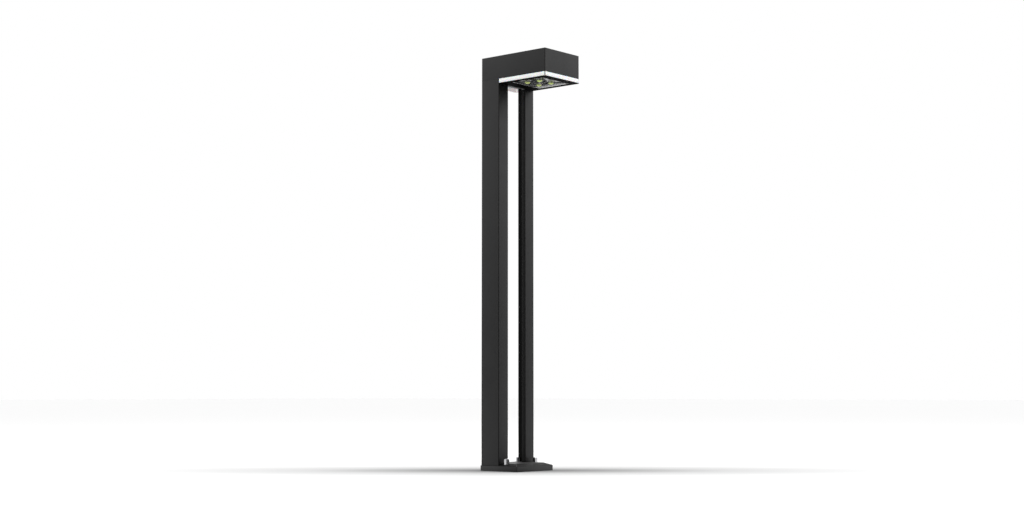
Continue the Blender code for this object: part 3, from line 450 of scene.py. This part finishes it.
def slim_post():
    """Angle-shaped extrusion with a fillet inside its angle."""
    edges = [SLIM_EDGE] * 6
    edges[4] = SLIM_FILLET
    skin = slab("slim_skin", rounded(slim_outline(0.0), edges), [], SLIM_LOW.z, CASING_LOW.z, CUT_EDGE)
    mark_edges(skin, PAINT, PAINT_EDGE_SHADE)
    skin.data.materials.append(PAINT_INSIDE_SHADE)
    skin.data.materials.append(PAINT_SHADED)
    # Painted shade: faces inside the angle get the near-black coat, and the bar's left face gets the darker
    # coat.
    for face in skin.data.polygons:
        if face.normal.x < -0.9:
            face.material_index = 3 if face.center.x < SLIM_LOW.x + SLIM_EDGE else 2
        elif face.normal.y > 0.9 and face.center.x < SLIM_HIGH.x - SLIM_FLANGE:
            face.material_index = 2
    show(skin, "graphite_paint", "slim_post")


def base_plate():
    """Hipped plate with rounded edges, seats for the posts and a spot face for each washer."""
    low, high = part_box("base_plate")
    bm = box_bmesh(low, (high.x, high.y, PLATE_EDGE_HEIGHT))
    top = [face for face in bm.faces if face.normal.z > 0.5]
    bmesh.ops.inset_region(bm, faces=top, thickness=HIP_INSET, depth=high.z - PLATE_EDGE_HEIGHT)
    upper = [edge for edge in bm.edges if max(v.co.z for v in edge.verts) > PLATE_EDGE_HEIGHT / 2]
    bmesh.ops.bevel(bm, geom=upper, offset=PLATE_ROUND, segments=3, profile=0.5, affect="EDGES")
    plate = from_bmesh("base_plate_skin", bm)
    mark_edges(plate, PAINT, PAINT_EDGE_SHADE)
    seat_top = high.z + PAST
    carve(plate, from_bmesh("column_seat", box_bmesh(
        (COLUMN_LOW.x - SEAT_GAP, COLUMN_LOW.y - SEAT_GAP, PLATE_EDGE_HEIGHT),
        (COLUMN_HIGH.x + SEAT_GAP, COLUMN_HIGH.y + SEAT_GAP, seat_top))))
    carve(plate, slab("slim_seat", slim_outline(SEAT_GAP), [], PLATE_EDGE_HEIGHT, seat_top, 0.0))
    for place in ANCHOR_PLACES:
        washer_low, washer_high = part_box("anchor_washer_" + place)
        seat = (washer_high.x - washer_low.x) / 2 + SEAT_GAP
        carve(plate, turned("spot_face", middle("anchor_washer_" + place), [
            (0.0, seat_top), (seat, seat_top), (seat, washer_low.z - SEAT_GAP),
            (STUD_BORE, washer_low.z - SEAT_GAP), (STUD_BORE, -PAST), (0.0, -PAST)]))
    screws = [name for name in frame["nodes"] if "foot_screw" in name]
    for name in [*screws, "base_grommet"]:
        screw_low, screw_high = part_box(name)
        radius = (screw_high.x - screw_low.x) / 2 + SEAT_GAP
        rim = min(screw_high.z, COUNTERBORE) if name in screws else PLATE_EDGE_HEIGHT + PAST
        profile = [(0.0, rim), (radius, rim), (radius, -PAST), (0.0, -PAST)]
        if name in screws:
            profile = [(0.0, seat_top), (POST_SCREW_BORE, seat_top), (POST_SCREW_BORE, rim), *profile[1:]]
        carve(plate, turned("hole", middle(name), profile))
    show(plate, "graphite_paint", "base_plate", smooth=30)


def anchor(place):
    """Washer with broken edges, and a chamfered hexagon nut with a domed cap."""
    low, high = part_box("anchor_washer_" + place)
    centre = middle("anchor_washer_" + place)
    radius = (high.x - low.x) / 2
    washer = slab("washer_" + place, circle(centre, radius), [circle(centre, STUD_BORE)],
                  low.z, high.z, FINE_EDGE)
    show(washer, "stainless_steel", "anchor_washer_" + place, material=STEEL)

    low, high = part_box("anchor_cap_nut_" + place)
    hex_top = low.z + NUT_HEX_HEIGHT
    turn = math.radians(NUT_TURNS[place])
    nut = prism("cap_nut_" + place, centre, NUT_CORNER, low.z, hex_top, turn=turn)
    wide = NUT_CORNER + NUT_CHAMFER
    narrow = NUT_FLAT - NUT_CHAMFER
    carve(nut, turned("chamfer", centre, [
        (0.0, hex_top + NUT_CHAMFER), (narrow, hex_top + NUT_CHAMFER), (wide, hex_top - 2 * NUT_CHAMFER),
        (wide, low.z + NUT_CHAMFER), (narrow, low.z - NUT_CHAMFER), (0.0, low.z - NUT_CHAMFER)]), "INTERSECT")
    crown = NUT_FLAT - NUT_DOME_INSET
    waist = high.z - NUT_DOME_RISE
    arc = [math.pi / 2 * step / DOME_STEPS for step in range(1, DOME_STEPS + 1)]
    profile = [(0.0, high.z), *[(crown * math.sin(a), waist + NUT_DOME_RISE * math.cos(a)) for a in arc]]
    profile += [(crown, hex_top - NUT_DOME_SINK), (0.0, hex_top - NUT_DOME_SINK)]
    carve(nut, turned("dome", centre, profile), "UNION")
    bore_top = low.z + NUT_BORE
    carve(nut, turned("bore", centre, [(0.0, bore_top), (STUD_BORE, bore_top),
                                       (STUD_BORE, low.z - PAST), (0.0, low.z - PAST)]))
    show(nut, "stainless_steel", "anchor_cap_nut_" + place, material=STEEL, smooth=30)


# --- Head ---------------------------------------------------------------------------------------

def casing():
    """Cap with rounded outer edges, a wall and the bosses for its screws."""
    bm = box_bmesh(CASING_LOW, CASING_HIGH)
    outer = [edge for edge in bm.edges if max(v.co.z for v in edge.verts) > CASING_HIGH.z - MM]
    bmesh.ops.bevel(bm, geom=outer, offset=CASING_EDGE, segments=4, profile=0.5, affect="EDGES")
    skin = from_bmesh("casing_skin", bm)
    mark_edges(skin, PAINT, PAINT_EDGE_SHADE)
    wall = Vector((CASING_WALL, CASING_WALL, CASING_WALL))
    inside_low = Vector((CASING_LOW.x, CASING_LOW.y, CASING_LOW.z - PAST)) + Vector((*wall.xy, 0.0))
    carve(skin, from_bmesh("hollow", box_bmesh(inside_low, CASING_HIGH - wall)))
    chassis_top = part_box("chassis_plate")[1].z
    for name in ("casing_screw_left", "casing_screw_right", "casing_screw_back"):
        screw_low, screw_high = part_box(name)
        roof = CASING_HIGH.z - CASING_WALL / 2
        foot = chassis_top + SEAT_GAP
        tip = screw_high.z + SEAT_GAP
        carve(skin, turned("boss", middle(name), [
            (0.0, roof), (BOSS_RADIUS, roof), (BOSS_RADIUS, foot), (0.0, foot)]), "UNION")
        carve(skin, turned("bore", middle(name), [
            (0.0, tip), (BOSS_BORE, tip), (BOSS_BORE, CASING_LOW.z), (0.0, CASING_LOW.z)]))
    show(skin, "graphite_paint", "head_casing", smooth=30)


def opal_band():
    """Opal frame with soft edges round the posts and the lens plate."""
    low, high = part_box("opal_diffuser")
    lens_low, lens_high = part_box("lens_plate")
    front = SLIM_LOW.y - BAND_GAP
    column_side = COLUMN_HIGH.x + BAND_GAP
    slim_side = SLIM_LOW.x - BAND_GAP
    slim_behind = SLIM_HIGH.y + BAND_GAP
    seat_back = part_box("rear_strip")[1].y + SEAT_BEHIND
    inner_left = column_side + BAND_WALL
    inner_right = high.x - BAND_WALL
    inner_back = high.y - BAND_WALL
    side = [(low.x, low.y), (high.x, low.y), (high.x, front), (slim_side, front), (slim_side, seat_back),
            (inner_left, seat_back), (inner_left, inner_back), (inner_right, inner_back),
            (inner_right, slim_behind), (high.x, slim_behind), (high.x, high.y), (column_side, high.y),
            (column_side, front), (low.x, front)]
    window = rectangle(lens_low.x - BAND_GAP, lens_high.x + BAND_GAP,
                       lens_low.y - BAND_GAP, lens_high.y + BAND_GAP)
    holes = [rounded(window, 2 * CUT_EDGE)]
    for name in sorted(frame["nodes"]):
        if name.startswith("casing_screw"):
            holes.append(circle(middle(name), CASING_SCREW_BORE, HOLE_STEPS))
        if name.startswith("bezel_screw"):
            holes.append(circle(middle(name), SHANK_BORE, HOLE_STEPS))
    radii = [FINE_EDGE] * len(side)
    radii[0] = radii[1] = BAND_CORNER
    band = slab("opal_band", rounded(side, radii), holes, low.z, high.z, FINE_EDGE)
    # Painted shade: the two front corners get the darker edge coat, a painted dark line down the band.
    band.data.materials.append(OPAL_PAINTED_GLOW)
    band.data.materials.append(PAINT_EDGE_SHADE)
    for face in band.data.polygons:
        on_corner = face.center.y < low.y + BAND_CORNER and abs(face.center.x) > high.x - BAND_CORNER
        face.material_index = 1 if on_corner and abs(face.normal.z) < 0.9 else 0
    show(band, "opal_acrylic", "opal_diffuser")


def bezel():
    """Black frame with eased edges round its window, the strip behind it, and their screws."""
    low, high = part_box("bezel_frame")
    lens_low, lens_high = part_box("lens_plate")
    window = rectangle(lens_low.x + LENS_LAP, lens_high.x - LENS_LAP,
                       lens_low.y + LENS_LAP, lens_high.y - LENS_LAP)
    front_heads = [circle(middle("bezel_screw_front_" + side), SCREW_HEAD_BORE) for side in ("left", "right")]
    skin = slab("bezel_skin", rounded(rectangle(low.x, high.x, low.y, high.y), BEZEL_CORNER),
                [rounded(window, WINDOW_CORNER), *front_heads], low.z, high.z, BEZEL_EDGE)
    show(skin, "black_enamel", "bezel_frame", material=BLACK)
    low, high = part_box("rear_strip")
    back_heads = [circle(middle("bezel_screw_back_" + side), SCREW_HEAD_BORE) for side in ("left", "right")]
    side = rounded(rectangle(low.x, high.x, low.y, high.y), STRIP_CORNER)
    strip = slab("rear_strip_skin", side, back_heads, low.z, high.z, BEZEL_EDGE)
    show(strip, "grey_strip", "rear_strip", material=STRIP)
    for name in sorted(frame["nodes"]):
        if name.startswith("bezel_screw"):
            socket_screw(name)


def socket_screw(name):
    """Countersunk screw with a hexagon socket in its lower face."""
    low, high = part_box(name)
    centre = middle(name)
    head = (high.x - low.x) / 2
    cone_top = low.z + HEAD_HEIGHT
    made = turned(name + "_skin", centre, [
        (0.0, high.z), (SHANK_RADIUS - FINE_EDGE, high.z), (SHANK_RADIUS, high.z - FINE_EDGE),
        (SHANK_RADIUS, cone_top), (head, low.z + FINE_EDGE), (head - FINE_EDGE, low.z), (0.0, low.z)])
    carve(made, prism("socket", centre, SCREW_SOCKET, low.z - PAST, low.z + SOCKET_DEPTH))
    show(made, "stainless_steel", name, material=STEEL)


def dome(radius, rise, foot):
    """Profile of a dome that hangs from its foot: (radius, z) from the rim down to the axis."""
    arc = [math.pi / 2 * step / DOME_STEPS for step in range(1, DOME_STEPS)]
    return [*[(radius * math.cos(a), foot - rise * math.sin(a)) for a in arc], (0.0, foot - rise)]


def lens_plate():
    """Clear plate with a hollow lens under each LED."""
    low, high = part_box("lens_plate")
    foot = low.z + LENS_DOME
    bm = box_bmesh((low.x, low.y, foot), high)
    bmesh.ops.bevel(bm, geom=list(bm.edges), offset=FINE_EDGE, segments=2, profile=0.5, affect="EDGES")
    plate = from_bmesh("lens_plate_skin", bm)
    half = (foot + high.z) / 2
    rim = foot - LENS_FILLET
    flare = [(LENS_RADIUS + LENS_FILLET, half), (LENS_RADIUS + LENS_FILLET, foot + 0.1 * LENS_FILLET),
             (LENS_RADIUS + 0.3 * LENS_FILLET, foot - 0.4 * LENS_FILLET), (LENS_RADIUS, rim)]
    inner = LENS_RADIUS - LENS_WALL
    for number in range(1, 5):
        carve(plate, turned("lens", middle(f"led_{number}"), [
            (0.0, half), *flare, *dome(LENS_RADIUS, LENS_DOME - LENS_FILLET, rim)]), "UNION")
    for number in range(1, 5):
        carve(plate, turned("hollow", middle(f"led_{number}"), [
            (0.0, high.z + PAST), (inner, high.z + PAST), (inner, foot),
            *dome(inner, LENS_DOME - LENS_WALL, foot)]))
    carve(plate, turned("hole", middle("lens_screw"), [
        (0.0, high.z + PAST), (SHANK_BORE, high.z + PAST), (SHANK_BORE, foot - PAST), (0.0, foot - PAST)]))
    show(plate, "clear_lens", "lens_plate", material=CLEAR, smooth=40)


def reflector():
    """Satin plate with a round hole for each LED's holder and one for the lens screw, its edges rounded."""
    low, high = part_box("reflector_plate")
    holes = []
    for number in range(1, 5):
        holder_low, holder_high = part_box(f"led_holder_{number}")
        holes.append(circle(middle(f"led_{number}"), (holder_high.x - holder_low.x) / 2 + SEAT_GAP))
    holes.append(circle(middle("lens_screw"), SHANK_BORE))
    side = rounded(rectangle(low.x, high.x, low.y, high.y), REFLECTOR_CORNER)
    plate = slab("reflector_skin", side, holes, low.z, high.z, FINE_EDGE)
    show(plate, "satin_reflector", "reflector_plate", material=REFLECTOR)


def led(number):
    """LED with a ceramic base and a phosphor dome, in a dished black holder."""
    low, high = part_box(f"led_{number}")
    centre = middle(f"led_{number}")
    radius = (high.x - low.x) / 2
    foot = low.z + LED_DOME
    inner = radius - LED_RIM
    made = turned(f"led_dome_{number}", centre, [
        (0.0, high.z), (radius, high.z), (radius, foot + FINE_EDGE), (radius - FINE_EDGE, foot),
        (inner, foot), *dome(inner, LED_DOME, foot)])
    made.data.materials.append(CERAMIC)
    made.data.materials.append(PHOSPHOR_PAINTED_GLOW)
    for face in made.data.polygons:
        reach = (face.center.xy - Vector(centre)).length
        face.material_index = 1 if face.center.z < foot + FINE_EDGE / 2 and reach < inner else 0
    show(made, "led_phosphor", f"led_{number}")

    low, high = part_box(f"led_holder_{number}")
    outer = (high.x - low.x) / 2
    bore = radius + SEAT_GAP
    ring = turned(f"led_holder_ring_{number}", centre, [
        (bore, high.z), (outer, high.z), (outer, low.z + FINE_EDGE), (outer - FINE_EDGE, low.z),
        (outer - HOLDER_RIM, low.z), (bore + HOLDER_BOTTOM, low.z + HOLDER_LIP), (bore, low.z + HOLDER_LIP),
        (bore, high.z)])
    show(ring, "black_plastic", f"led_holder_{number}", material=PLASTIC)


def lens_screw():
    """Pan-head screw in the middle of the lens plate."""
    low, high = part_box("lens_screw")
    centre = middle("lens_screw")
    head = (high.x - low.x) / 2
    head_top = low.z + HEAD_HEIGHT
    rim = head_top - FINE_EDGE
    curve = [(head * math.cos(a), rim - (rim - low.z) * math.sin(a)) for a in (0.0, 0.5, 0.9)]
    made = turned("lens_screw_skin", centre, [
        (0.0, high.z), (SHANK_RADIUS, high.z), (SHANK_RADIUS, head_top), (head - FINE_EDGE, head_top),
        *curve, (head * LENS_HEAD_SHARE, low.z), (0.0, low.z)])
    socket = SCREW_SOCKET * LENS_SOCKET_SHARE
    carve(made, prism("socket", centre, socket, low.z - PAST, low.z + SOCKET_DEPTH))
    show(made, "stainless_steel", "lens_screw", material=STEEL)


# --- Pieces that keep their CAD shape -----------------------------------------------------------

def inner_pieces():
    """Give each carried-over node its material."""
    by_slot = {
        "stainless_steel": ZINC, "plain_aluminium": ALUMINIUM, "black_plastic": PLASTIC,
        "white_plastic": WHITE_PLASTIC, "white_board": BOARD, "rubber": RUBBER, "red_wire": RED_WIRE,
        "blue_wire": BLUE_WIRE, "graphite_paint": PAINT, "black_enamel": BLACK, "opal_acrylic": OPAL_PAINTED_GLOW,
        "clear_lens": CLEAR, "satin_reflector": REFLECTOR, "led_phosphor": PHOSPHOR_PAINTED_GLOW, "grey_strip": STRIP,
    }
    for row in frame["record"]["subparts"]:
        made = frame["nodes"][row["node"]]
        material = by_slot[row["material_slot"]]
        if not made.material_slots:
            made.data.materials.append(material)
        for slot in made.material_slots:
            slot.material = material


# --- Studio -------------------------------------------------------------------------------------

def toward_dark_side(tree, way):
    """How nearly a way points to the studio's unlit side."""
    near = node(tree, "ShaderNodeVectorMath", {0: way, 1: DARK_SIDE}, operation="DOT_PRODUCT")
    return near.outputs["Value"]


def floor():
    """Pale floor with a painted soft shadow round the object.

    The camera sees it pale; for other rays its colour is a painted pool of light near its foot, painted dark
    towards the dark side, so it lights the object only there.
    """
    bm = bmesh.new()
    bmesh.ops.create_grid(bm, x_segments=1, y_segments=1, size=FLOOR_SIZE / 2)
    made = from_bmesh("floor", bm)
    made.location.z = -FLOOR_DROP
    material = bpy.data.materials.new("pale_floor")
    material.use_nodes = True
    tree = material.node_tree
    shader = tree.nodes["Principled BSDF"]
    shader.inputs["Roughness"].default_value = 0.9
    shader.inputs["Specular IOR Level"].default_value = 0.0
    place = node(tree, "ShaderNodeTexCoord").outputs["Object"]
    turn = node(tree, "ShaderNodeMapping", {
        "Vector": place, "Rotation": (0.0, 0.0, -math.radians(SHADE_HEADING)),
        "Scale": (SHADE_LENGTH, SHADE_DEPTH, 1.0)}, vector_type="TEXTURE").outputs["Vector"]
    away = node(tree, "ShaderNodeVectorMath", {0: turn}, operation="LENGTH").outputs["Value"]
    # Painted soft shadow: the floor's colour darkens towards the middle under the object.
    ramp = node(tree, "ShaderNodeValToRGB", {"Fac": away})
    stops = ramp.color_ramp.elements
    stops[0].color = (SHADE_MIDDLE, SHADE_MIDDLE, SHADE_MIDDLE, 1.0)
    stops[1].color = (FLOOR_PALE, FLOOR_PALE, FLOOR_PALE, 1.0)
    for reach, grey in SHADE_STOPS:
        stops.new(reach).color = (grey, grey, grey, 1.0)
    # Painted light for other rays than the camera's: a pool of brightness round the foot, darkened towards
    # the unlit side.
    reach = node(tree, "ShaderNodeVectorMath", {0: place}, operation="LENGTH").outputs["Value"]
    pool = node(tree, "ShaderNodeMapRange", {
        "Value": reach, "From Min": POOL_RADII[0], "From Max": POOL_RADII[1],
        "To Min": POOL_LIGHT[0], "To Max": POOL_LIGHT[1]}).outputs["Result"]
    way = node(tree, "ShaderNodeVectorMath", {0: place}, operation="NORMALIZE").outputs["Vector"]
    side = toward_dark_side(tree, way)
    lit = node(tree, "ShaderNodeMapRange", {
        "Value": side, "From Min": FLOOR_FADE[0], "From Max": FLOOR_FADE[1],
        "To Min": 1.0, "To Max": FLOOR_DIM}).outputs["Result"]
    bounce = node(tree, "ShaderNodeMath", {0: pool, 1: lit}, operation="MULTIPLY").outputs["Value"]
    seen = node(tree, "ShaderNodeLightPath").outputs["Is Camera Ray"]
    colour = node(tree, "ShaderNodeMix", {0: seen, 6: bounce, 7: ramp.outputs["Color"]}, data_type="RGBA")
    tree.links.new(colour.outputs[2], shader.inputs["Base Color"])
    made.data.materials.append(material)


def sky():
    """Backdrop that the camera sees white, whose light fades on the studio's unlit side."""
    world = bpy.data.worlds.new("studio")
    world.use_nodes = True
    tree = world.node_tree
    way = node(tree, "ShaderNodeTexCoord").outputs["Generated"]
    side = toward_dark_side(tree, way)
    light = node(tree, "ShaderNodeMapRange", {"Value": side, "From Min": SKY_FADE[0], "From Max": SKY_FADE[1],
                                              "To Min": SKY_STRENGTH, "To Max": SKY_DIM},
                 interpolation_type="SMOOTHSTEP").outputs["Result"]
    seen = node(tree, "ShaderNodeLightPath").outputs["Is Camera Ray"]
    strength = node(tree, "ShaderNodeMix", {0: seen, 2: light, 3: 1.0}, data_type="FLOAT").outputs[0]
    background = tree.nodes["Background"]
    background.inputs["Color"].default_value = (1.0, 1.0, 1.0, 1.0)
    tree.links.new(strength, background.inputs["Strength"])
    bpy.context.scene.world = world


def soft_box(name, place, target, size, power):
    """A large area light that points at a target."""
    data = bpy.data.lights.new(name, "AREA")
    data.shape = "SQUARE"
    data.size = size
    data.energy = power
    made = bpy.data.objects.new(name, data)
    made.location = place
    made.rotation_euler = (Vector(target) - Vector(place)).to_track_quat("-Z", "Y").to_euler()
    bpy.context.scene.collection.objects.link(made)


def camera():
    """Camera a little above the ground, looking slightly up."""
    heading = math.radians(CAMERA_HEADING)
    tilt = math.radians(CAMERA_TILT)
    ahead = Vector((math.sin(heading) * math.cos(tilt), math.cos(heading) * math.cos(tilt), math.sin(tilt)))
    data = bpy.data.cameras.new("camera")
    data.lens = CAMERA_LENS
    data.sensor_width = 36.0
    made = bpy.data.objects.new("camera", data)
    made.location = CAMERA_PLACE
    made.rotation_euler = ahead.to_track_quat("-Z", "Y").to_euler()
    bpy.context.scene.collection.objects.link(made)
    bpy.context.scene.camera = made


inner_pieces()
column()
slim_post()
base_plate()
for place in ANCHOR_PLACES:
    anchor(place)
casing()
opal_band()
bezel()
lens_plate()
reflector()
for number in range(1, 5):
    led(number)
lens_screw()

floor()
sky()
for name, place, target, size, power in LIGHTS:
    soft_box(name, place, target, size, power)
camera()
bpy.context.scene.view_settings.view_transform = "Standard"
